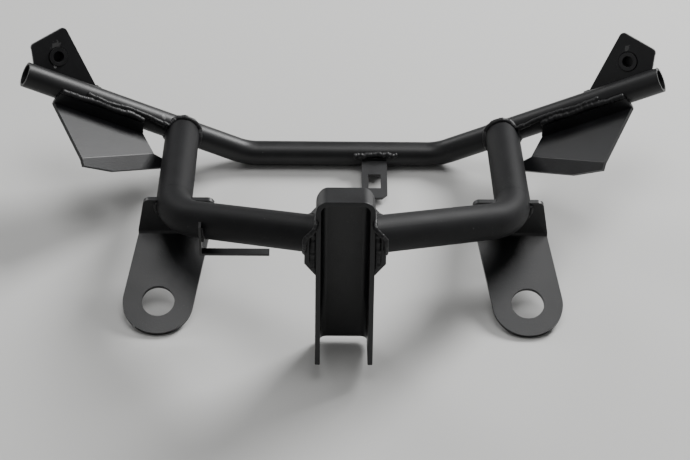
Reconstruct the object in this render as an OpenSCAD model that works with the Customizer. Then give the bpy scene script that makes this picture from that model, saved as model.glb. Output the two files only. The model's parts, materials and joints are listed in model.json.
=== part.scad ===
// Welded tubular bracket that carries a motorbike's instruments in front of the steering head.
// Frame: X across the bike, Y away from the folded neck, Z up. Millimetres.
// It stands on the middle of the cross tube and on the round ends of the two lower plates.

/* [Cross tube] */
// Outer diameter of the cross tube
cross_d = 16; // [12:0.5:20]
// Wall of the cross tube
cross_wall = 1.6; // [1:0.1:2.5]
// Distance from the middle to each bend
cross_half = 63; // [50:1:75]
// Length of each raised wing, from its bend to its open end
wing_len = 157; // [145:1:175]
// Rise of each wing above the horizontal, in degrees
wing_rise = 28.3; // [20:0.1:36]
// Sweep of each wing towards the neck, in degrees
wing_sweep = 5.6; // [0:0.1:10]
// Radius of the bend, on the centre line
cross_bend = 32; // [20:1:50]

/* [Arm tubes] */
// Outer diameter of the arm tubes
arm_d = 22; // [18:0.5:25]
// Wall of the arm tubes
arm_wall = 2; // [1:0.1:3]
// Distance along the wing from its bend to the arm
arm_along = 46.5; // [40:0.5:52]
// Distance forward from the cross tube to the corner of the arm
arm_reach = 113; // [105:1:120]
// Height of that corner above the arm's start
arm_lift = 22.4; // [10:0.1:30]
// Radius of the corner, on the centre line
arm_bend = 40; // [30:1:48]

/* [Neck channel] */
// Width over the flanges
neck_w = 34; // [30:0.5:42]
// Sheet thickness
neck_t = 3; // [2:0.1:4]
// Length of the front edge of a flange
neck_len = 108; // [95:1:120]
// Depth at the closed top
neck_top_depth = 19; // [16:0.5:24]
// Depth at the open lower end
neck_low_depth = 36; // [28:0.5:40]
// Tilt of the front edge out of the vertical, in degrees
neck_tilt = 14; // [8:0.5:18]
// Distance forward from the cross tube to the lower front corner
neck_reach = 198; // [190:1:206]
// Height of the lower front corner above the ground
neck_height = 12; // [10:0.5:20]
// Outer radius of the folds
neck_fold = 7; // [4:0.5:8]
// Distance of the arms below the closed top, along the flange
neck_arm_down = 26; // [20:1:34]
// Distance behind the front edge where the arms meet the flange
neck_arm_in = 12; // [8:0.5:13]

/* [Side doublers] */
// Plate thickness
doubler_t = 3; // [2:0.1:4]
// How far the plate stands off the flange
doubler_gap = 3.5; // [2:0.1:5]
// Length along the flange
doubler_len = 33; // [28:1:40]
// Depth from front to back
doubler_depth = 23; // [20:0.5:25]
// Distance of its middle below the arms, along the flange
doubler_drop = 5.5; // [3:0.5:8]
// Setback behind the front edge of the flange
doubler_back = 0.5; // [0:0.25:3]

/* [Lower plates] */
// Plate thickness
lower_t = 3; // [2:0.1:4]
// Width of the strip
lower_w = 43; // [38:0.5:48]
// Distance from the fold to the hole
lower_reach = 46; // [40:1:54]
// Radius of the hole
lower_hole_r = 10; // [5:0.25:13]
// Slope of the lower part below the horizontal, in degrees
lower_slope = 21; // [15:0.5:28]
// Outward slant of the strip, in degrees
lower_slant = 10; // [4:0.5:14]
// Height of the upright part above the fold
lower_rise = 25; // [22:0.5:30]
// Inner radius of the fold
lower_fold = 2; // [1:0.25:4]
// Radius of the upright part's upper corners
lower_round = 4; // [1:0.5:8]
// Distance from the middle of the bracket to the strip, at the fold
lower_x = 104.5; // [100:0.5:110]
// Distance forward from the cross tube to the upright part
lower_y = 99.5; // [96:0.5:104]

/* [Wing plates] */
// Sheet thickness
wing_t = 2.5; // [1.5:0.1:3]
// Height of the flange on the tube, above the shelf
wing_flange = 8; // [6:0.5:12]
// Distance of the shelf below the wing's centre line
wing_drop = 6; // [4:0.5:7]
// Where the shelf starts along the wing
wing_in = 73; // [70:0.5:76]
// Where the shelf ends along the wing
wing_out = 135; // [126:0.5:142]
// Forward distance of the crease at its inner end
wing_crease_in = 26; // [22:0.5:30]
// Forward distance of the crease at its outer end
wing_crease_out = 55; // [48:0.5:60]
// Slant of the shelf's ends, in degrees
wing_slant = 22; // [14:0.5:26]
// Width of the lip past the crease
wing_lip = 9.5; // [7:0.5:14]
// Downward fold of the lip, in degrees
wing_lip_fold = 25; // [10:1:40]

/* [Upper tabs] */
// Plate thickness
tab_t = 3; // [2:0.1:4]
// Width of the tab
tab_w = 26; // [22:0.5:30]
// Lean of the tab round the wing, from level and backwards, in degrees
tab_lean = 54; // [45:1:65]
// Slant of the tab's long edge against the wing, in degrees
tab_slant = 42; // [36:1:48]
// Height of the tab's outer corner above the wing's centre line
tab_up = 18; // [15:0.5:22]
// Corner radius
tab_r = 3; // [1:0.5:5]

/* [Weld nuts] */
// Radius of the threaded bore, at the thread's crest
nut_bore_r = 3.4; // [2.5:0.05:4.5]
// Radius of the pilot collar that sits in the tab
nut_pilot_r = 6; // [5.5:0.1:7]
// Width of the nut across its flats
nut_flats = 14; // [13:0.5:17]
// Height of the nut behind the tab
nut_h = 8; // [5:0.5:11]
// Thickness of the nut's closed end
nut_floor = 1.5; // [1:0.25:3]
// How far the pilot stands out in front of the tab
nut_proud = 1; // [0.5:0.1:2]
// Gap between the pilot and its hole
nut_gap = 0.1; // [0.05:0.05:0.3]
// Distance of the nut's centre from the tab's free end
nut_back = 15; // [13:0.5:19]

/* [Clip tab] */
// Sheet thickness
clip_t = 2; // [1:0.1:3]
// Width of the tab
clip_w = 16.5; // [14:0.5:20]
// Distance of the tab's middle from the middle of the bracket
clip_x = 21; // [12:0.5:30]
// Length forward of the cross tube
clip_len = 33; // [28:0.5:40]
// Width of the window
clip_window_w = 8; // [5:0.5:10]
// Length of the window
clip_window_len = 12; // [8:0.5:16]
// Downward slope of the tab, in degrees
clip_slope = 7; // [0:0.5:10]

/* [Cable hook] */
// Strip thickness
hook_t = 1.5; // [1:0.1:2.5]
// Width of the strip
hook_w = 5; // [4:0.5:8]
// Length of the leg that runs along the arm
hook_len = 41; // [30:1:50]
// Distance of the upright leg from the middle of the bracket
hook_x = 85.5; // [80:0.5:88]
// Height of the upright leg
hook_h = 22.5; // [18:0.5:28]
// Height of the upright leg's top above the arm's centre line
hook_up = 9; // [6:0.5:10]

/* [Welds] */
// Leg length of the welds round the tubes
weld_leg = 3; // [2:0.1:4]
// Diameter of the weld seams on the sheet parts
seam_d = 3.6; // [2.5:0.1:5]

/* [Hidden] */

$fn = 48;
black = [0.07, 0.07, 0.075];
satin = [0.11, 0.11, 0.115];
bead = [0.16, 0.16, 0.165];
steel = [0.45, 0.45, 0.44];

cross_r = cross_d / 2;
arm_r = arm_d / 2;
cut = 0.5;
// How deep a flat plate is let into the curve of a tube
seat = 0.4;
// How much slimmer a tube or a sheet is in its bends, on each side
bend_ease = 0.05;
// How far a fold runs on into the flat parts, in degrees
fold_lap = 1;

// The bracket's origin is under the middle of its overall box
depth_mid = 89.9;

// Key points on the right side, before the shift to the origin
mid_pt = [0, 0, cross_r];
bend_pt = [cross_half, 0, cross_r];
wing_dir = [
    cos(wing_rise) * cos(wing_sweep),
    -cos(wing_rise) * sin(wing_sweep),
    sin(wing_rise)
];
wing_end = bend_pt + wing_len * wing_dir;
cross_level = cross_half - cross_bend * tan(acos(wing_dir.x) / 2) + cut;
arm_start = bend_pt + arm_along * wing_dir;
arm_corner = [arm_start.x, -arm_reach, arm_start.z + arm_lift];

// The neck's front edge runs up and back from its lower front corner
neck_low = [0, -neck_reach, neck_height];
neck_up = [0, sin(neck_tilt), cos(neck_tilt)];
neck_in = [0, cos(neck_tilt), -sin(neck_tilt)];
neck_arm_up = neck_len - neck_arm_down;
neck_mid = neck_low + neck_arm_up * neck_up + neck_arm_in * neck_in;
pad_x = neck_w / 2 + doubler_gap + doubler_t;
arm_foot = [pad_x, neck_mid.y, neck_mid.z];
arm_dir = (arm_foot - arm_corner) / norm(arm_foot - arm_corner);

// Lower plates: the fold's centre is set so that the round end just stands on the ground
lower_end = lower_w / 2;
lower_turn = 90 - lower_slope;
lower_run = lower_reach * cos(lower_slant) + lower_end;
lower_z = (lower_fold + lower_t) * sin(lower_turn) + lower_run * sin(lower_slope);

function unit(v) = v / norm(v);

// Puts children on the right side as drawn and on the left side mirrored
module side(left) {
    if (left) {
        mirror([1, 0, 0]) children();
    } else {
        children();
    }
}

// Moves the whole bracket so that its origin is under the middle of its box
module placed() {
    translate([0, depth_mid, 0]) children();
}

// Places children in the wing's frame: X along the wing, Y back, Z away from the ground
module on_wing() {
    translate(bend_pt) rotate([0, 0, -wing_sweep]) rotate([0, -wing_rise, 0]) children();
}

// Places children in the neck's frame: X across, Y from the front edge to the back, Z up the edge
module on_neck() {
    translate(neck_low) rotate([-neck_tilt, 0, 0]) children();
}

// A round bar from p to s with one bend of centre-line radius bend at q
module bent_bar(p, q, s, r, bend, start = 0, over = 0) {
    d1 = unit(q - p);
    d2 = unit(s - q);
    turn = acos(d1 * d2);
    tangent = bend * tan(turn / 2);
    nrm = unit(cross(d1, d2));
    sid = cross(nrm, d1);
    run1 = norm(q - p) - tangent;
    run2 = norm(s - q) - tangent;
    multmatrix([
        [d1.x, sid.x, nrm.x, q.x],
        [d1.y, sid.y, nrm.y, q.y],
        [d1.z, sid.z, nrm.z, q.z],
        [0, 0, 0, 1]
    ]) {
        if (start < run1) {
            translate([start - run1 - tangent, 0, 0]) rotate([0, 90, 0])
                cylinder(r = r, h = run1 - start + cut);
        }
        translate([-tangent, bend, 0]) rotate([0, 0, -90])
            rotate_extrude(angle = turn, $fn = 120) translate([bend, 0]) circle(r = r - bend_ease, $fn = 48);
        rotate([0, 0, turn]) translate([tangent - cut, 0, 0]) rotate([0, 90, 0])
            cylinder(r = r, h = run2 + over + cut);
    }
}

// Puts children at p, with their Z axis towards q
module toward(p, q) {
    d1 = unit(q - p);
    sid = unit(cross([0, 0, 1], d1));
    nrm = cross(d1, sid);
    multmatrix([
        [sid.x, nrm.x, d1.x, p.x],
        [sid.y, nrm.y, d1.y, p.y],
        [sid.z, nrm.z, d1.z, p.z],
        [0, 0, 0, 1]
    ]) children();
}

// The cross tube as one solid bar: its level middle and both raised wings
module cross_bar(r, over = 0) {
    translate([-cross_level, 0, cross_r]) rotate([0, 90, 0]) cylinder(r = r, h = 2 * cross_level);
    for (left = [false, true]) side(left)
        bent_bar(mid_pt, bend_pt, wing_end, r, cross_bend, cross_half, over);
}

module cross_tube() {
    color(black) placed() difference() {
        cross_bar(cross_r);
        cross_bar(cross_r - cross_wall, cut);
    }
}

// The right arm as a solid bar of radius r, from the cross tube to the doubler's face
module arm_bar(r) {
    difference() {
        bent_bar(arm_start, arm_corner, arm_foot, r, arm_bend, cross_r / 4, arm_d);
        doubler_filled(0);
    }
}

module arm_tube(left) {
    color(satin) placed() side(left) difference() {
        arm_bar(arm_r);
        bent_bar(arm_start, arm_corner, arm_foot, arm_r - arm_wall, arm_bend, 0, arm_d);
        on_wing() translate([arm_along - arm_d, 0, 0]) rotate([0, 90, 0]) cylinder(r = cross_r, h = 2 * arm_d);
    }
}

// Outline of a flange seen from the side, inset by m from the top and from the back
module neck_side(m) {
    taper = (neck_low_depth - neck_top_depth) / neck_len;
    polygon([
        [-m, -m],
        [neck_low_depth - m + m * taper, -m],
        [neck_top_depth - m + m * taper, neck_len - m],
        [-m, neck_len - m]
    ]);
}

// Block with the neck's side outline and with its upper and rear folds rounded
module neck_block(m) {
    half = neck_w / 2 - m;
    fold = neck_fold - m;
    back = atan((neck_low_depth - neck_top_depth) / neck_len);
    intersection() {
        rotate([90, 0, 90]) linear_extrude(2 * half, center = true) neck_side(m);
        translate([0, 2 * neck_low_depth, 0]) rotate([90, 0, 0]) linear_extrude(3 * neck_low_depth) union() {
            translate([-half, -neck_len]) square([2 * half, 2 * neck_len - m - fold]);
            translate([-half + fold, 0]) square([2 * half - 2 * fold, neck_len - m]);
            for (s = [-1, 1]) translate([s * (half - fold), neck_len - m - fold]) circle(r = fold);
        }
        translate([0, neck_low_depth - m, 0]) rotate([back, 0, 0]) translate([0, 0, -neck_len / 2])
            linear_extrude(2 * neck_len) union() {
            translate([-half, -3 * neck_low_depth]) square([2 * half, 3 * neck_low_depth - fold]);
            translate([-half + fold, -3 * neck_low_depth]) square([2 * half - 2 * fold, 3 * neck_low_depth]);
            for (s = [-1, 1]) translate([s * (half - fold), -fold]) circle(r = fold);
        }
    }
}

module neck_channel() {
    color(satin) placed() on_neck() difference() {
        neck_block(0);
        neck_block(neck_t);
    }
}

// Doubler: a dished plate whose upper and lower ends turn in to the flange
doubler_out = doubler_gap + doubler_t;
doubler_lead = doubler_out * 1.2;
doubler_low = neck_arm_up - doubler_drop - doubler_len / 2;

// Extrudes a side outline over a depth, from X = 0 on the flange's outer face
module on_flange(start, depth) {
    on_neck() translate([neck_w / 2, start + depth, doubler_low]) rotate([90, 0, 0])
        linear_extrude(depth) children();
}

// The space that a doubler takes up together with its hollow, grown outwards by m
module doubler_filled(m) {
    on_flange(-neck_low_depth, 3 * neck_low_depth) polygon([
        [-2 * neck_w, -neck_len],
        [m, -neck_len],
        [m, -0.8 * m],
        [doubler_out + m, doubler_lead - 0.4 * m],
        [doubler_out + m, doubler_len - doubler_lead + 0.4 * m],
        [m, doubler_len + 0.8 * m],
        [m, neck_len],
        [-2 * neck_w, neck_len]
    ]);
}

module doubler_sheet() {
    on_flange(doubler_back, doubler_depth) polygon([
        [0, 0],
        [doubler_out, doubler_lead],
        [doubler_out, doubler_len - doubler_lead],
        [0, doubler_len],
        [0, doubler_len - doubler_t * 1.4],
        [doubler_gap, doubler_len - doubler_lead - doubler_t * 0.5],
        [doubler_gap, doubler_lead + doubler_t * 0.5],
        [0, doubler_t * 1.4]
    ]);
}

module doubler(left) {
    color(satin) placed() side(left) doubler_sheet();
}

// Outline of the sloping part of a lower plate, Y running forward from the fold
module lower_outline() {
    mid = [lower_reach * sin(lower_slant), lower_reach * cos(lower_slant)];
    difference() {
        union() {
            translate(mid) circle(r = lower_end);
            rotate(-lower_slant) intersection() {
                translate([-lower_end, -lower_w]) square([lower_w, lower_w + lower_reach]);
                rotate(lower_slant) translate([-2 * lower_w, 0]) square([4 * lower_w, 2 * lower_w]);
            }
        }
        translate(mid) circle(r = lower_hole_r);
    }
}

// Outline of the upright part, with its upper corners rounded
module lower_upright() {
    half = lower_end / cos(lower_slant);
    lean = (lower_rise - lower_round) * tan(lower_slant);
    polygon([
        [-half, 0],
        [half, 0],
        [half - lean, lower_rise - lower_round],
        [-half - lean, lower_rise - lower_round]
    ]);
    translate([-lean, lower_rise - lower_round]) {
        translate([-half + lower_round, -cut]) square([2 * half - 2 * lower_round, lower_round + cut]);
        for (x = [lower_round - half, half - lower_round]) translate([x, 0]) intersection() {
            circle(r = lower_round);
            translate([-lower_round, -cut]) square([2 * lower_round, lower_round + cut]);
        }
    }
}

module lower_plate(left) {
    wide = lower_end / cos(lower_slant);
    color(black) placed() side(left) difference() {
        translate([lower_x, -lower_y - lower_fold, lower_z]) {
            rotate([180 + lower_slope, 0, 0]) translate([0, 0, lower_fold])
                linear_extrude(lower_t) lower_outline();
            translate([bend_ease - wide, 0, 0]) rotate([0, 90, 0]) rotate([0, 0, 90 - lower_turn - fold_lap])
                rotate_extrude(angle = lower_turn + 2 * fold_lap) translate([lower_fold + bend_ease, 0])
                square([lower_t - 2 * bend_ease, 2 * wide - 2 * bend_ease]);
            translate([0, lower_fold + lower_t, 0]) rotate([90, 0, 0]) linear_extrude(lower_t)
                lower_upright();
        }
        arm_bar(arm_r);
    }
}

// Corners of the wing plate's shelf: X along the wing, Y back from its centre line
wing_edge = -cross_r - wing_t / 2 + seat;
crease_a = [wing_in - (wing_crease_in - cross_r) * tan(wing_slant), -wing_crease_in];
crease_b = [wing_out - (wing_crease_out - cross_r) * tan(wing_slant), -wing_crease_out];
crease_dir = atan2(crease_b.y - crease_a.y, crease_b.x - crease_a.x);
crease_len = norm(crease_b - crease_a);
shelf_mid = -wing_drop - wing_t / 2;

// Wing plate: a flange on the wing, a shelf and a lip folded down at the crease
module wing_sheet() {
    reach = arm_r - wing_t / 2;
    flange = wing_flange + wing_t / 2;
    lean = flange * tan(wing_slant);
    translate([0, wing_edge + wing_t / 2, shelf_mid]) rotate([90, 0, 0]) linear_extrude(wing_t) polygon([
        [wing_in, 0],
        [wing_out, 0],
        [wing_out, wing_t],
        [wing_out - lean / 3, flange],
        [wing_in + lean, flange],
        [wing_in, wing_t]
    ]);
    translate([wing_in, wing_edge, shelf_mid]) rotate([0, 90, 0])
        cylinder(d = wing_t - 2 * bend_ease, h = wing_out - wing_in);
    translate([0, 0, shelf_mid - wing_t / 2]) linear_extrude(wing_t)
        polygon([[wing_in, wing_edge], [wing_out, wing_edge], crease_b, crease_a]);
    translate([crease_a.x, crease_a.y, shelf_mid]) rotate([0, 0, crease_dir]) {
        translate([bend_ease, 0, 0]) rotate([0, 90, 0])
            cylinder(d = wing_t - 2 * bend_ease, h = crease_len - 2 * bend_ease);
        rotate([wing_lip_fold, 0, 0]) translate([0, 0, -wing_t / 2]) linear_extrude(wing_t) polygon([
            [0, 0],
            [crease_len, 0],
            [crease_len, -wing_lip / 2],
            [crease_len * 0.62, -wing_lip],
            [-reach, -wing_lip],
            [-reach, -wing_lip * 0.6]
        ]);
    }
}

module wing_plate(left) {
    color(satin) placed() side(left) difference() {
        on_wing() wing_sheet();
        cross_bar(cross_r);
        arm_bar(arm_r);
    }
}

// Places children on the tab: X along the wing from its open end, Y up the tab, Z out of its face
module on_tab() {
    on_wing() translate([wing_len, 0, 0]) rotate([tab_lean, 0, 0]) translate([0, 0, seat - cross_r]) children();
}

// Outline of the upper tab: its inner long edge runs straight down to the wing
tab_corner = [tab_up / 12, tab_up];
tab_long = [cos(tab_slant), sin(tab_slant)];
tab_side = [-sin(tab_slant), cos(tab_slant)];
tab_base = -cross_r / 2;
tab_inner = tab_corner + tab_w * tab_side;
tab_toe = tab_inner - (tab_inner.y - tab_base) / sin(tab_slant) * tab_long;
tab_heel = [tab_corner.x - 0.6 * tab_up, 0];
nut_pos = tab_corner + tab_w / 2 * tab_side - nut_back * tab_long;

module tab_outline() {
    translate(tab_corner) rotate(tab_slant)
        for (y = [tab_r, tab_w - tab_r]) translate([-tab_r, y]) circle(r = tab_r);
    polygon([
        tab_inner - tab_r * tab_long,
        tab_toe,
        [tab_heel.x, tab_base],
        tab_heel,
        tab_corner - tab_r * tab_long,
        tab_corner + tab_r * tab_side,
        tab_inner - tab_r * tab_side
    ]);
}

module upper_tab(left) {
    color(black) placed() side(left) difference() {
        on_tab() translate([0, 0, -tab_t]) linear_extrude(tab_t) difference() {
            tab_outline();
            translate(nut_pos) circle(r = nut_pilot_r + nut_gap);
        }
        cross_bar(cross_r);
    }
}

module weld_nut(left) {
    color(steel) placed() side(left) on_tab() translate([nut_pos.x, nut_pos.y, 0]) difference() {
        union() {
            translate([0, 0, -tab_t - cut]) cylinder(r = nut_pilot_r, h = tab_t + cut + nut_proud);
            translate([0, 0, -tab_t - nut_h]) cylinder(d = nut_flats / cos(30), h = nut_h, $fn = 6);
        }
        translate([0, 0, nut_floor - tab_t - nut_h])
            cylinder(r = nut_bore_r, h = cut + tab_t + nut_h + nut_proud - nut_floor);
    }
}

// Clip tab: a short flange on the cross tube, folded forward, with a window
module clip_sheet() {
    fold_y = seat - cross_r - clip_t / 2;
    fold_z = cross_r + clip_t / 2;
    flange = cross_r / 3;
    corner = clip_w / 5;
    half = clip_w / 2;
    translate([clip_x - half, fold_y - clip_t / 2, fold_z]) cube([clip_w, clip_t, flange]);
    translate([clip_x - half + bend_ease, fold_y, fold_z]) rotate([0, 90, 0])
        cylinder(d = clip_t - 2 * bend_ease, h = clip_w - 2 * bend_ease);
    translate([clip_x, fold_y, fold_z]) rotate([clip_slope, 0, 0]) translate([0, 0, -clip_t / 2])
        linear_extrude(clip_t) difference() {
            polygon([
                [-half, 0],
                [half, 0],
                [half, corner - clip_len],
                [half - corner, -clip_len],
                [corner - half, -clip_len],
                [-half, corner - clip_len]
            ]);
            translate([-clip_window_w / 2, 1.5 * corner - clip_len])
                translate([0, corner]) square([clip_window_w, clip_window_len]);
        }
}

module clip_tab() {
    color(black) placed() difference() {
        clip_sheet();
        cross_bar(cross_r);
    }
}

// Cable hook: a thin strip down the front of the left arm, folded towards the middle
hook_share = (arm_corner.x - hook_x) / (arm_corner.x - arm_foot.x);
hook_at = arm_corner + hook_share * (arm_foot - arm_corner);
hook_front = hook_at.y - arm_r * norm([arm_dir.x, arm_dir.y]) / abs(arm_dir.x);
hook_low = hook_at.z + hook_up - hook_h;

module hook_strip() {
    translate([hook_x - hook_t / 2, hook_front + hook_t - hook_w, hook_low + hook_t / 2])
        cube([hook_t, hook_w, hook_h - hook_t / 2]);
    translate([hook_x, hook_front + hook_t, hook_low + hook_t / 2])
        rotate([90, 0, 0]) cylinder(d = hook_t - 2 * bend_ease, h = hook_w);
    translate([hook_x - hook_len, hook_front + hook_t - hook_w, hook_low]) cube([hook_len, hook_w, hook_t]);
}

module cable_hook() {
    color(black) placed() side(true) difference() {
        hook_strip();
        arm_bar(arm_r);
    }
}

// Weld round the joint of an arm and the cross tube
module weld_arm_rear(left) {
    color(bead) placed() side(left) difference() {
        toward(arm_start, arm_corner) translate([0, 0, cross_r - cut]) rotate_extrude()
            translate([arm_r + 0.1 * weld_leg, 0]) circle(d = 1.3 * weld_leg);
        toward(arm_start, arm_corner) cylinder(r = arm_r, h = 2 * arm_d);
        on_wing() translate([arm_along - arm_d, 0, 0]) rotate([0, 90, 0]) cylinder(r = cross_r, h = 2 * arm_d);
    }
}

// Weld round the foot of an arm on its doubler
module weld_neck(left) {
    color(bead) placed() side(left) difference() {
        intersection() {
            bent_bar(arm_start, arm_corner, arm_foot, arm_r + weld_leg, arm_bend, 0, arm_d);
            doubler_filled(weld_leg);
        }
        doubler_filled(0);
        bent_bar(arm_start, arm_corner, arm_foot, arm_r, arm_bend, 0, 2 * arm_d);
    }
}

// Seam that closes the slot between a doubler and its flange
module weld_doubler(left) {
    color(bead) placed() side(left) difference() {
        on_neck() translate([
            neck_w / 2 + doubler_gap / 2,
            doubler_back + seam_d / 2,
            doubler_low + doubler_lead + doubler_t
        ]) cylinder(d = seam_d, h = doubler_len - 2 * doubler_lead - 2 * doubler_t);
        doubler_sheet();
        on_neck() translate([neck_w / 2 - seam_d, -cut, 0]) cube([seam_d, seam_d + 3 * cut, neck_len]);
    }
}

// Seam along the top of a wing plate's flange
module weld_wing(left) {
    top = shelf_mid + wing_t / 2 + wing_flange;
    color(bead) placed() side(left) difference() {
        on_wing() translate([wing_in + wing_flange / 2, wing_edge + wing_t / 4, top + seam_d / 5])
            rotate([0, 90, 0]) cylinder(d = seam_d, h = wing_out - wing_in - wing_flange);
        on_wing() wing_sheet();
        cross_bar(cross_r);
    }
}

// Seam between an upper tab's face and the wing
module weld_tab(left) {
    lift = seam_d * 0.36;
    rise = sqrt(pow(cross_r + lift, 2) - pow(cross_r - seat - lift, 2));
    color(bead) placed() side(left) difference() {
        on_tab() translate([tab_toe.x + 0.6 * tab_w, rise, lift]) rotate([0, 90, 0])
            cylinder(d = seam_d, h = tab_heel.x - tab_toe.x - 0.7 * tab_w);
        on_tab() translate([tab_toe.x, -cross_r, -tab_t]) cube([4 * tab_w, 3 * cross_r, tab_t]);
        cross_bar(cross_r);
    }
}

// Weld round the arm's corner on the upright part of a lower plate
module weld_lower(left) {
    color(bead) placed() side(left) difference() {
        intersection() {
            bent_bar(arm_start, arm_corner, arm_foot, arm_r + weld_leg * 0.8, arm_bend, 0, 0);
            translate([lower_x - lower_w / 2, -lower_y - weld_leg, lower_z + lower_fold])
                cube([lower_w * 0.85, weld_leg, lower_rise - lower_fold]);
        }
        bent_bar(arm_start, arm_corner, arm_foot, arm_r, arm_bend, 0, 0);
    }
}

module weld_clip() {
    color(bead) placed() difference() {
        translate([clip_x - clip_w / 2 + 2, -cross_r, cross_r + cross_r / 2 + seam_d / 6]) rotate([0, 90, 0])
            cylinder(d = seam_d * 0.9, h = clip_w + 2);
        clip_sheet();
        cross_bar(cross_r);
    }
}

module weld_hook() {
    color(bead) placed() side(true) difference() {
        translate([hook_x - seam_d / 3, hook_front, hook_at.z - hook_up / 2]) cylinder(d = seam_d, h = hook_up);
        hook_strip();
        arm_bar(arm_r);
    }
}

cross_tube();
arm_tube(true);  // arm_tube_left
arm_tube(false);  // arm_tube_right
neck_channel();
doubler(true);  // doubler_left
doubler(false);  // doubler_right
lower_plate(true);  // lower_plate_left
lower_plate(false);  // lower_plate_right
wing_plate(true);  // wing_plate_left
wing_plate(false);  // wing_plate_right
upper_tab(true);  // upper_tab_left
upper_tab(false);  // upper_tab_right
weld_nut(true);  // weld_nut_left
weld_nut(false);  // weld_nut_right
clip_tab();
cable_hook();
weld_arm_rear(true);  // weld_arm_rear_left
weld_arm_rear(false);  // weld_arm_rear_right
weld_neck(true);  // weld_neck_left
weld_neck(false);  // weld_neck_right
weld_doubler(true);  // weld_doubler_left
weld_doubler(false);  // weld_doubler_right
weld_wing(true);  // weld_wing_left
weld_wing(false);  // weld_wing_right
weld_tab(true);  // weld_tab_left
weld_tab(false);  // weld_tab_right
weld_lower(true);  // weld_lower_left
weld_lower(false);  // weld_lower_right
weld_clip();
weld_hook();
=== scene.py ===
import bpy
import json
import math
import random
from mathutils import Matrix, Vector


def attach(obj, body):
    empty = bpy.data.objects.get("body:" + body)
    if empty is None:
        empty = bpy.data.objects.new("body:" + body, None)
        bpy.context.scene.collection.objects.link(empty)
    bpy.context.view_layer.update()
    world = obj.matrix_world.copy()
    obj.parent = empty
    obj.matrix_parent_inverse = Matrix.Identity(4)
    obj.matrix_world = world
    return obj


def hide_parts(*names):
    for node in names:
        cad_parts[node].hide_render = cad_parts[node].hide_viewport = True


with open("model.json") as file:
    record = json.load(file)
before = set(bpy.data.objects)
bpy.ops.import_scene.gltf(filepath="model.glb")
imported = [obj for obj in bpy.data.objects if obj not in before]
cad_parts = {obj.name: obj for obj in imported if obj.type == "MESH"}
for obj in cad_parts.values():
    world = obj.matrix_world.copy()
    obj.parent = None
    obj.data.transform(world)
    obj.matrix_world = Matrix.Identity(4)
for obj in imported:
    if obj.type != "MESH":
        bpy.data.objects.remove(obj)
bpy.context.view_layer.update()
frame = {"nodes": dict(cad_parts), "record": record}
print("frame loaded")

# the photograph's viewing angle
camera = {
    "place": (-0.01744, -0.97423, 0.90532),
    "down": 42.21,          # degrees below the horizontal
    "heading": 1.10,        # degrees towards +X
    "roll": 1.17,           # degrees, the picture turned clockwise
    "lens": 110.1,
    "sensor": 36.0,
    "clip": (0.05, 30),
}


def makeCamera(s):
    down, heading, roll = (math.radians(s[key]) for key in ("down", "heading", "roll"))
    forward = Vector((
        math.sin(heading) * math.cos(down), math.cos(heading) * math.cos(down), -math.sin(down)))
    level = Vector((math.cos(heading), -math.sin(heading), 0))
    above = level.cross(forward)
    right = level * math.cos(roll) + above * math.sin(roll)
    up = above * math.cos(roll) - level * math.sin(roll)
    data = bpy.data.cameras.new("camera")
    data.lens, data.sensor_width = s["lens"], s["sensor"]
    data.clip_start, data.clip_end = s["clip"]
    data.dof.use_dof = False
    obj = bpy.data.objects.new("camera", data)
    bpy.context.scene.collection.objects.link(obj)
    turn = Matrix((right, up, -forward)).transposed()
    obj.matrix_world = Matrix.Translation(Vector(s["place"])) @ turn.to_4x4()
    bpy.context.scene.camera = obj


makeCamera(camera)


# the same places as the CAD source, in millimetres, before the shift to the middle of the box
layout = {
    "shift": 89.9,
    "crossRadius": 8.0,
    "crossHalf": 63.0,
    "wingLength": 157.0,
    "wingRise": 28.3,       # degrees
    "wingSweep": 5.6,       # degrees
    "armRadius": 11.0,
    "armAlong": 46.5,
    "armReach": 113.0,
    "armLift": 22.4,
    "armBend": 40.0,        # radius of the bend
    "armSteps": 48,
    "neckHalf": 17.0,
    "neckReach": 198.0,
    "neckHeight": 12.0,
    "neckTilt": 14.0,       # degrees
    "armUp": 82.0,
    "armIn": 12.0,
    "doublerLow": 60.0,
    "doublerLength": 33.0,
    "doublerOut": 6.5,
    "doublerLead": 7.8,
    "tabLean": 54.0,        # degrees
    "seat": 0.4,            # how far a tab sits into the tube
}
perMetre = 1000


def turned(angle, axis):
    return Matrix.Rotation(math.radians(angle), 3, axis)


wingTurn = turned(-layout["wingSweep"], "Z") @ turned(-layout["wingRise"], "Y")
neckTurn = turned(-layout["neckTilt"], "X")
tabTurn = wingTurn @ turned(layout["tabLean"], "X")


def placed(point, left=False):
    p = (Vector(point) + Vector((0, layout["shift"], 0))) / perMetre
    return Vector((-p.x, p.y, p.z)) if left else p


def wingPoint(along, back, up):
    corner = Vector((layout["crossHalf"], 0, layout["crossRadius"]))
    return corner + wingTurn @ Vector((along, back, up))


def tabPoint(along, up, out):
    end = wingPoint(layout["wingLength"], 0, 0)
    return end + tabTurn @ Vector((along, up, out + layout["seat"] - layout["crossRadius"]))


def neckPoint(across, back, up):
    foot = Vector((0, -layout["neckReach"], layout["neckHeight"]))
    return foot + neckTurn @ Vector((across, back, up))


def bentLine(start, corner, end, bend, steps):
    first, second = (corner - start).normalized(), (end - corner).normalized()
    turn = first.angle(second)
    tangent = bend * math.tan(turn / 2)
    across = first.cross(second).normalized()
    inward = across.cross(first)
    centre = corner - first * tangent + inward * bend
    arc = [centre + Matrix.Rotation(turn * i / steps, 3, across) @ (-inward * bend)
           for i in range(steps + 1)]
    return [start] + arc + [end]


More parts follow.
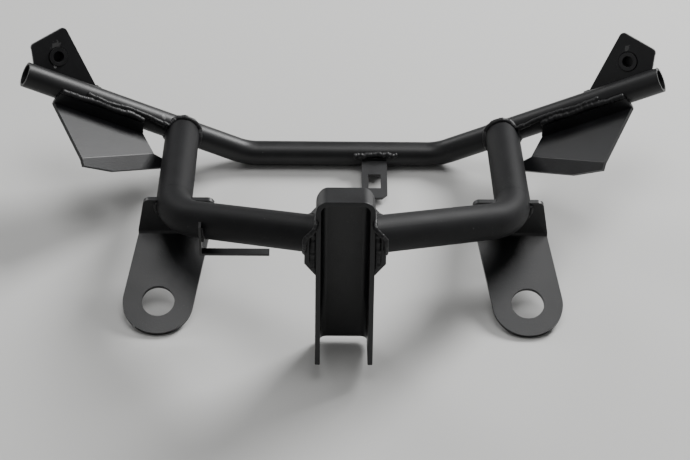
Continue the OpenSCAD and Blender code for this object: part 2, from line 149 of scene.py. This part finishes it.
# centre line of the right arm: straight, one bend, straight
armStart = wingPoint(layout["armAlong"], 0, 0)
armCorner = Vector((armStart.x, -layout["armReach"], armStart.z + layout["armLift"]))
armFoot = neckPoint(0, layout["armIn"], layout["armUp"])
armFoot.x = layout["neckHalf"] + layout["doublerOut"]
armLine = bentLine(armStart, armCorner, armFoot, layout["armBend"], layout["armSteps"])


def gapTo(point, a, b):
    share = max(0.0, min(1.0, (point - a).dot(b - a) / (b - a).length_squared))
    return (point - a - share * (b - a)).length


def armDistance(point):
    return min(gapTo(point, a, b) for a, b in zip(armLine, armLine[1:]))


def makeActive(obj):
    bpy.ops.object.select_all(action="DESELECT")
    obj.select_set(True)
    bpy.context.view_layer.objects.active = obj


def applyAll(obj):
    makeActive(obj)
    for name in [m.name for m in obj.modifiers]:
        bpy.ops.object.modifier_apply(modifier=name)


def copyOf(obj, name):
    made = obj.copy()
    made.data = obj.data.copy()
    for key in list(made.keys()):
        if key.startswith("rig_"):
            del made[key]
    made.parent = None
    made.name = made.data.name = name
    made.matrix_world = Matrix.Identity(4)
    bpy.context.scene.collection.objects.link(made)
    return made


def give(obj, material, replaced):
    obj.data.materials.clear()
    obj.data.materials.append(material)
    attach(obj, "root")
    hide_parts(*replaced)


nodeGap = 240       # between the columns and rows of a material's nodes


def node(tree, kind, column, row, **values):
    made = tree.nodes.new(kind)
    made.location = (column * nodeGap, -row * nodeGap)
    for key, value in values.items():
        if key in made.inputs:
            made.inputs[key].default_value = value
        else:
            setattr(made, key, value)
    return made


def paintMaterial(name, s):
    mat = bpy.data.materials.new(name)
    mat.use_nodes = True
    tree = mat.node_tree
    link = tree.links.new
    shader = tree.nodes["Principled BSDF"]
    shader.inputs["IOR"].default_value = s["ior"]
    shader.inputs["Metallic"].default_value = 0.0
    shader.inputs["Specular IOR Level"].default_value = s["gloss"]
    place = node(tree, "ShaderNodeTexCoord", -7, 0)
    # cloudy difference in the depth of the coat; on the sheets the light end also carries a painted
    # bluish reflection
    cloud = node(tree, "ShaderNodeTexNoise", -6, -1,
                 Scale=s["cloudScale"], Detail=4.0, Roughness=0.55)
    link(place.outputs["Object"], cloud.inputs["Vector"])
    tone = node(tree, "ShaderNodeValToRGB", -5, -1)
    dark, light = tone.color_ramp.elements
    dark.position, light.position = s["toneSpan"]
    dark.color, light.color = (*s["dark"], 1), (*s["light"], 1)
    link(cloud.outputs["Fac"], tone.inputs["Fac"])
    # small pale specks of dust and chips, in clumps
    speck = node(tree, "ShaderNodeTexVoronoi", -6, 0, Scale=s["speckScale"])
    link(place.outputs["Object"], speck.inputs["Vector"])
    clump = node(tree, "ShaderNodeTexNoise", -6, 1,
                 Scale=s["speckScale"] * s["clumpShare"], Detail=1.0)
    link(place.outputs["Object"], clump.inputs["Vector"])
    near = node(tree, "ShaderNodeMath", -5, 0, operation="LESS_THAN")
    near.inputs[1].default_value = s["speckSize"]
    link(speck.outputs["Distance"], near.inputs[0])
    some = node(tree, "ShaderNodeMath", -5, 1, operation="GREATER_THAN")
    some.inputs[1].default_value = s["clumpLimit"]
    link(clump.outputs["Fac"], some.inputs[0])
    both = node(tree, "ShaderNodeMath", -4, 0, operation="MULTIPLY")
    link(near.outputs[0], both.inputs[0])
    link(some.outputs[0], both.inputs[1])
    dusty = node(tree, "ShaderNodeMixRGB", -3, -1, Color2=(*s["dust"], 1))
    link(both.outputs[0], dusty.inputs["Fac"])
    link(tone.outputs["Color"], dusty.inputs["Color1"])
    # rubbed and chipped places: a ragged patch round each point, in the object's own frame
    rag = node(tree, "ShaderNodeTexNoise", -6, 4, Scale=s["ragScale"], Detail=3.0)
    link(place.outputs["Object"], rag.inputs["Vector"])
    middle, rim = s["wornLimits"]
    coloured = dusty.outputs["Color"]
    for i, (spot, reach, grey) in enumerate(s["worn"]):
        away = node(tree, "ShaderNodeVectorMath", -6, 5 + i, operation="DISTANCE")
        away.inputs[1].default_value = spot
        link(place.outputs["Object"], away.inputs[0])
        inside = node(tree, "ShaderNodeMapRange", -5, 5 + i, **{
            "From Min": 0, "From Max": reach / perMetre, "To Min": middle, "To Max": rim})
        link(away.outputs["Value"], inside.inputs["Value"])
        bare = node(tree, "ShaderNodeMath", -4, 5 + i, operation="GREATER_THAN")
        link(inside.outputs["Result"], bare.inputs[0])
        link(rag.outputs["Fac"], bare.inputs[1])
        rubbed = node(tree, "ShaderNodeMixRGB", -2, i - 1, Color2=(grey, grey, grey, 1))
        link(bare.outputs[0], rubbed.inputs["Fac"])
        link(coloured, rubbed.inputs["Color1"])
        coloured = rubbed.outputs["Color"]
    link(coloured, shader.inputs["Base Color"])
    # sheen of the satin coat changes a little
    matte = node(tree, "ShaderNodeMapRange", -3, 0)
    matte.inputs["To Min"].default_value, matte.inputs["To Max"].default_value = s["rough"]
    link(cloud.outputs["Fac"], matte.inputs["Value"])
    link(matte.outputs["Result"], shader.inputs["Roughness"])
    # orange peel and fine grain
    peel = node(tree, "ShaderNodeTexNoise", -5, 2, Scale=s["peelScale"], Detail=2.0)
    grain = node(tree, "ShaderNodeTexNoise", -5, 3, Scale=s["grainScale"], Detail=3.0)
    link(place.outputs["Object"], peel.inputs["Vector"])
    link(place.outputs["Object"], grain.inputs["Vector"])
    wave = node(tree, "ShaderNodeBump", -3, 2, Strength=s["peel"], Distance=0.0002)
    fine = node(tree, "ShaderNodeBump", -1, 2, Strength=s["grain"], Distance=0.0001)
    link(peel.outputs["Fac"], wave.inputs["Height"])
    link(grain.outputs["Fac"], fine.inputs["Height"])
    link(wave.outputs["Normal"], fine.inputs["Normal"])
    link(fine.outputs["Normal"], shader.inputs["Normal"])
    return mat


coat = {
    "dark": (0.0045, 0.0045, 0.0052),
    "light": (0.0078, 0.0080, 0.0088),
    "toneSpan": (0.3, 0.72),
    "ior": 1.5,
    "gloss": 0.5,
    "dust": (0.06, 0.06, 0.06),
    "rough": (0.34, 0.46),
    "cloudScale": 60.0,
    "speckScale": 900.0,
    "speckSize": 0.13,
    "clumpShare": 0.13,     # scale of the clumps as a share of the specks' scale
    "clumpLimit": 0.63,     # noise above this carries specks
    "ragScale": 700.0,
    "worn": (),
    "wornLimits": (0.85, 0.25),     # noise below this is rubbed, in a patch's middle and at its rim
    "peelScale": 900.0,
    "grainScale": 4200.0,
    "peel": 0.25,
    "grain": 0.3,
}
# point, reach in millimetres and grey of each rubbed place
wornSheet = (
    (placed(tabPoint(-15, 23.5, 0), True), 5.0, 0.05),
    (placed(tabPoint(-18.5, 11, 0), True), 1.5, 0.30),
    (placed(tabPoint(-16, 26, 0)), 3.0, 0.06),
    (placed(neckPoint(-15.5, 0.5, 107.5)), 2.2, 0.22),
    (placed(neckPoint(2, 16, 12)), 5.0, 0.03),
    (placed((126.5, -157.7, 3.3), True), 1.8, 0.30),
    (placed(wingPoint(95, -27, -6), True), 3.5, 0.002),
    (placed(wingPoint(84, -21, -6)), 2.0, 0.002),
)
wornTube = (
    (placed(armCorner.lerp(armFoot, 0.42) + Vector((0, -8, 7.5)), True), 2.0, 0.12),
    (placed((-46, -7, 11)), 1.2, 0.02),
    (placed(wingPoint(64, -3, 7), True), 2.4, 0.10),
    (placed(wingPoint(157, 3, 7)), 2.0, 0.14),
)
paints = {
    "cross": paintMaterial("crossPaint", {
        **coat, "rough": (0.38, 0.5), "gloss": 0.42, "worn": wornTube}),
    "tube": paintMaterial("armPaint", {
        **coat, "rough": (0.54, 0.64), "gloss": 0.2, "worn": wornTube}),
    # the sheets' lighter tone is tinted a little blue: a painted reflection of the bluish light the
    # flat plates catch from above
    "sheet": paintMaterial("sheetPaintBluishPaintedReflection", {
        **coat, "light": (0.0078, 0.0084, 0.0096), "rough": (0.36, 0.48), "peel": 0.3,
        "worn": wornSheet}),
    "weld": paintMaterial("weldPaint", {
        **coat, "light": (0.011, 0.011, 0.012), "gloss": 0.36, "rough": (0.4, 0.52), "peel": 0.5}),
    "nut": paintMaterial("nutPaint", {
        **coat, "light": (0.016, 0.016, 0.017), "rough": (0.3, 0.4)}),
}
print("paints made")


# copies of the solids' meshes with rounded edges; widths are in metres, by the start of a name
edges = {
    "weld": 2e-6,           # merge distance of loose corners
    "tubeWeld": 7e-5,       # on tubes it also closes the fine step where a bend starts
    "flat": 0.4,            # degrees that still count as one flat face
    "smooth": 38.0,         # degrees, shaded smooth below this
    "sharp": 40.0,          # degrees, rounded above this
    "bevelSteps": 2,
    "widths": {
        "neck_channel": 0.0005,
        "doubler_": 0.0005,
        "lower_plate_": 0.0005,
        "wing_plate_": 0.0004,
        "upper_tab_": 0.0005,
        "clip_tab": 0.0003,
        "cable_hook": 0.0003,
        "weld_nut_": 0.0006,
        "cross_tube": 0.0003,
        "arm_tube_": 0,
    },
}
slotOf = {row["node"]: row["material_slot"] for row in frame["record"]["subparts"]}


def cleanCopy(nodeName, name, s):
    made = copyOf(frame["nodes"][nodeName], name)
    makeActive(made)
    bpy.ops.object.mode_set(mode="EDIT")
    bpy.ops.mesh.select_all(action="SELECT")
    bpy.ops.mesh.remove_doubles(threshold=s["tubeWeld"] if "tube" in nodeName else s["weld"])
    bpy.ops.mesh.dissolve_limited(angle_limit=math.radians(s["flat"]))
    bpy.ops.mesh.normals_make_consistent(inside=False)
    bpy.ops.mesh.customdata_custom_splitnormals_clear()
    bpy.ops.object.mode_set(mode="OBJECT")
    return made


def dressNode(nodeName, s, width):
    made = cleanCopy(nodeName, nodeName + "_dressed", s)
    if width:
        edge = made.modifiers.new("edge", "BEVEL")
        edge.width, edge.segments = width, s["bevelSteps"]
        edge.limit_method, edge.angle_limit = "ANGLE", math.radians(s["sharp"])
        edge.miter_outer = "MITER_ARC"
        applyAll(made)
    makeActive(made)
    bpy.ops.object.shade_smooth_by_angle(angle=math.radians(s["smooth"]))
    # the big flat faces keep their own direction, so only the rounded edges shade round
    flat = made.modifiers.new("flat", "WEIGHTED_NORMAL")
    flat.keep_sharp = True
    applyAll(made)
    paint = paints["cross" if nodeName == "cross_tube" else slotOf[nodeName]]
    give(made, paint, [nodeName])


for nodeName in sorted(frame["nodes"]):
    for start, width in edges["widths"].items():
        if nodeName.startswith(start):
            dressNode(nodeName, edges, width)
print("tubes, sheets and nuts dressed")


# a hand-laid bead: overlapping flattened drops along a path, melted into one skin
beads = {
    "pitch": 1.25,
    "radius": 1.8,
    "flatten": 0.72,        # length of a drop along the path, as a share of its width
    "wander": 0.16,
    "uneven": 0.09,         # share by which the drops' widths differ
    "segments": 12,         # round a drop
    "rings": 8,             # from end to end of a drop
    "voxel": 0.00034,       # metres
    "softShare": 0.5,
    "soften": 6,            # turns of smoothing
    "seed": 7,
}


def evenSpots(points, pitch, closed):
    line = points + points[:1] if closed else points
    lengths = [(b - a).length for a, b in zip(line, line[1:])]
    total = sum(lengths)
    count = max(2, round(total / pitch))
    spots = []
    for i in range(count if closed else count + 1):
        want, k = total * i / count, 0
        while k < len(lengths) - 1 and want > lengths[k]:
            want -= lengths[k]
            k += 1
        step = line[k + 1] - line[k]
        spots.append((line[k] + step * (want / lengths[k]), step.normalized()))
    return spots


def layBead(nodeName, runs, s, left=False):
    # each run is a path, whether it closes on itself, and its size
    rng = random.Random(s["seed"] + sum(ord(c) for c in nodeName))
    name = nodeName + "_laid"
    made = bpy.data.objects.new(name, bpy.data.meshes.new(name))
    bpy.context.scene.collection.objects.link(made)
    makeActive(made)
    bpy.ops.object.mode_set(mode="EDIT")
    for points, closed, size in runs:
        for spot, along in evenSpots(points, s["pitch"] * size, closed):
            drift = Vector([rng.uniform(-1, 1) for _ in range(3)]) * s["wander"]
            width = s["radius"] * size * (1 + rng.uniform(-1, 1) * s["uneven"])
            aim = Vector((-along.x, along.y, along.z)) if left else along
            bpy.ops.mesh.primitive_uv_sphere_add(
                segments=s["segments"], ring_count=s["rings"], radius=width / perMetre,
                location=placed(spot + drift, left), scale=(1, 1, s["flatten"]),
                rotation=aim.to_track_quat("Z", "Y").to_euler())
    bpy.ops.object.mode_set(mode="OBJECT")
    melt = made.modifiers.new("melt", "REMESH")
    melt.mode, melt.voxel_size, melt.use_smooth_shade = "VOXEL", s["voxel"], True
    soft = made.modifiers.new("soft", "SMOOTH")
    soft.factor, soft.iterations = s["softShare"], s["soften"]
    applyAll(made)
    bpy.ops.object.shade_smooth()
    give(made, paints["weld"], [nodeName])


# the ring where an arm starts on the cross tube
rearRing = {"steps": 48, "clear": 0.3, "least": 3.2, "ahead": 0.8}


def rearPath(s):
    along = (armCorner - armStart).normalized()
    across = along.cross(wingTurn @ Vector((1, 0, 0))).normalized()
    beside = across.cross(along)
    path = []
    for i in range(s["steps"]):
        a = math.tau * i / s["steps"]
        high = layout["armRadius"] * math.sin(a)
        out = math.sqrt(max(layout["crossRadius"] ** 2 - high ** 2, 0))
        ring = (across * math.sin(a) + beside * math.cos(a)) * (layout["armRadius"] + s["clear"])
        path.append(armStart + ring + along * (max(out, s["least"]) + s["ahead"]))
    return path


# the ring where an arm meets its doubler; the face is searched for along the arm, by halving
neckRing = {"steps": 48, "clear": 0.2, "ahead": 0.3, "search": (-40.0, 20.0), "halvings": 24}


def doublerFace(up):
    near = min(up - layout["doublerLow"], layout["doublerLow"] + layout["doublerLength"] - up)
    return layout["neckHalf"] + layout["doublerOut"] * max(0, min(1, near / layout["doublerLead"]))


def neckPath(s):
    along = (armFoot - armCorner).normalized()
    across = along.cross(Vector((0, 0, 1))).normalized()
    beside = across.cross(along)
    path = []
    for i in range(s["steps"]):
        a = math.tau * i / s["steps"]
        ring = (across * math.sin(a) + beside * math.cos(a)) * (layout["armRadius"] + s["clear"])
        low, high = s["search"]
        for _ in range(s["halvings"]):
            mid = (low + high) / 2
            spot = armFoot + ring + along * mid
            up = (neckTurn.transposed() @ (spot - neckPoint(0, 0, 0))).z
            if spot.x > doublerFace(up):
                low = mid
            else:
                high = mid
        path.append(armFoot + ring + along * (low + s["ahead"]))
    return path


# the arc under an arm, on the front of its lower plate
lowerArc = {
    "depth": 99.5,
    "turn": (176, 364),     # degrees
    "steps": 24,
    "inside": 2,            # the search for the arm's skin starts this far inside it
    "stride": 0.1,
    "clear": 0.2,
    "ahead": 0.6,
}


def lowerPath(s):
    centre = min(armLine, key=lambda p: abs(p.y + s["depth"]))
    start, end = s["turn"]
    path = []
    for i in range(s["steps"] + 1):
        a = math.radians(start + (end - start) * i / s["steps"])
        ray = Vector((math.cos(a), 0, math.sin(a)))
        reach = layout["armRadius"] - s["inside"]
        while armDistance(centre + ray * reach) < layout["armRadius"]:
            reach += s["stride"]
        spot = centre + ray * (reach + s["clear"])
        spot.y = -s["depth"] - s["ahead"]
        path.append(spot)
    return path


# the short upright bead beside the strip on the left arm
hook = {"across": 85.5, "height": 9.0, "inward": 1.2, "sunk": 0.2, "size": 0.95}


def hookPath(s):
    along = (armFoot - armCorner).normalized()
    share = (armCorner.x - s["across"]) / (armCorner.x - armFoot.x)
    middle = armCorner + share * (armFoot - armCorner)
    front = middle.y - layout["armRadius"] * math.hypot(along.x, along.y) / abs(along.x)
    return [Vector((s["across"] - s["inward"], front + s["sunk"], middle.z + z))
            for z in (-s["height"] / 2, s["height"] / 2)]


def through(place, *points):
    return [place(*p) for p in points]


clip = {
    "run": ((9, -7.4, 12.0), (16, -7.8, 12.9), (23, -7.2, 13.6), (35, -7.6, 12.4)),
    "size": 1.15,
    "wander": 0.5,
}
lipTack = [Vector((113.4, -31.4, 25.2)), Vector((110.8, -32.0, 28.0))]
# the runs of each pair of beads, for the right side
seams = {
    "weld_arm_rear": [
        (rearPath(rearRing), True, 1.05),
        (through(wingPoint, (60, -7.0, 4.4), (63, -6.4, 5.0)), False, 0.9),
    ],
    "weld_neck": [(neckPath(neckRing), True, 0.85)],
    "weld_doubler": [
        (through(neckPoint, (18.9, 1.9, 65.5), (18.9, 1.9, 87.5)), False, 1.12),
        (through(neckPoint, (17.5, 2.2, 63), (17.5, 2.2, 90)), False, 0.8),
        (through(neckPoint, (20.4, 1.7, 65.8), (21.3, 1.7, 66.6)), False, 0.6),
    ],
    "weld_wing": [
        (through(wingPoint, (77, -8.2, 2.9), (86, -7.9, 3.8), (97, -8.2, 2.9), (108, -7.9, 3.7),
                 (120, -8.2, 3.0), (132, -8.2, 3.1)), False, 1.15),
        (through(wingPoint, (62, -6.9, 4.2), (74, -6.0, 5.4), (88, -5.6, 5.8), (101, -6.4, 4.9),
                 (116, -5.7, 5.7)), False, 1.0),
        (lipTack, False, 1.0),
    ],
    "weld_tab": [
        (through(tabPoint, (-49, 6.2, 0.9), (-38, 6.5, 1.1), (-24, 6.2, 0.9), (-11, 6.4, 1.0)),
         False, 0.9),
        (through(tabPoint, (-50.5, 6.6, 1.4), (-48, 7.0, 1.7)), False, 1.15),
    ],
    "weld_lower": [(lowerPath(lowerArc), False, 0.95)],
}
for start, runs in seams.items():
    for side in ("left", "right"):
        layBead(start + "_" + side, runs, beads, side == "left")
clipRun = [Vector(p) for p in clip["run"]]
layBead("weld_clip", [(clipRun, False, clip["size"])], {**beads, "wander": clip["wander"]})
layBead("weld_hook", [(hookPath(hook), False, hook["size"])], beads, True)
print("beads laid")


# plain floor, even surroundings and soft lamps: name, place, width and power of each
studio = {
    "floor": (0.55, 0.55, 0.54),
    "floorRough": 0.75,
    "floorSize": 12,
    "world": 0.17,
    "aim": (0, 0, 0.04),
    "lights": (
        ("keyLight", (0.95, 0.98, 1.02), 0.7, 42.0),
        ("topLight", (0.05, 0.10, 1.75), 1.0, 13.0),
        ("leftLight", (-0.95, 1.10, 0.80), 0.7, 7.0),
        ("fillLight", (-0.7, -0.9, 1.0), 1.0, 1.0),
    ),
}


def makeStudio(s):
    bpy.ops.mesh.primitive_plane_add(size=s["floorSize"], location=(0, 0, 0))
    floor = bpy.context.object
    floor.name = "floor"
    mat = bpy.data.materials.new("floorPlain")
    mat.use_nodes = True
    shader = mat.node_tree.nodes["Principled BSDF"]
    shader.inputs["Base Color"].default_value = (*s["floor"], 1)
    shader.inputs["Roughness"].default_value = s["floorRough"]
    floor.data.materials.append(mat)
    world = bpy.data.worlds.new("studio")
    world.use_nodes = True
    background = world.node_tree.nodes["Background"]
    background.inputs["Color"].default_value = (1, 1, 1, 1)
    background.inputs["Strength"].default_value = s["world"]
    bpy.context.scene.world = world
    for name, place, size, power in s["lights"]:
        data = bpy.data.lights.new(name, "AREA")
        data.shape, data.size, data.energy = "DISK", size, power
        obj = bpy.data.objects.new(name, data)
        bpy.context.scene.collection.objects.link(obj)
        obj.location = place
        aim = Vector(s["aim"]) - Vector(place)
        obj.rotation_mode = "QUATERNION"
        obj.rotation_quaternion = aim.to_track_quat("-Z", "Y")


makeStudio(studio)
print("studio made")
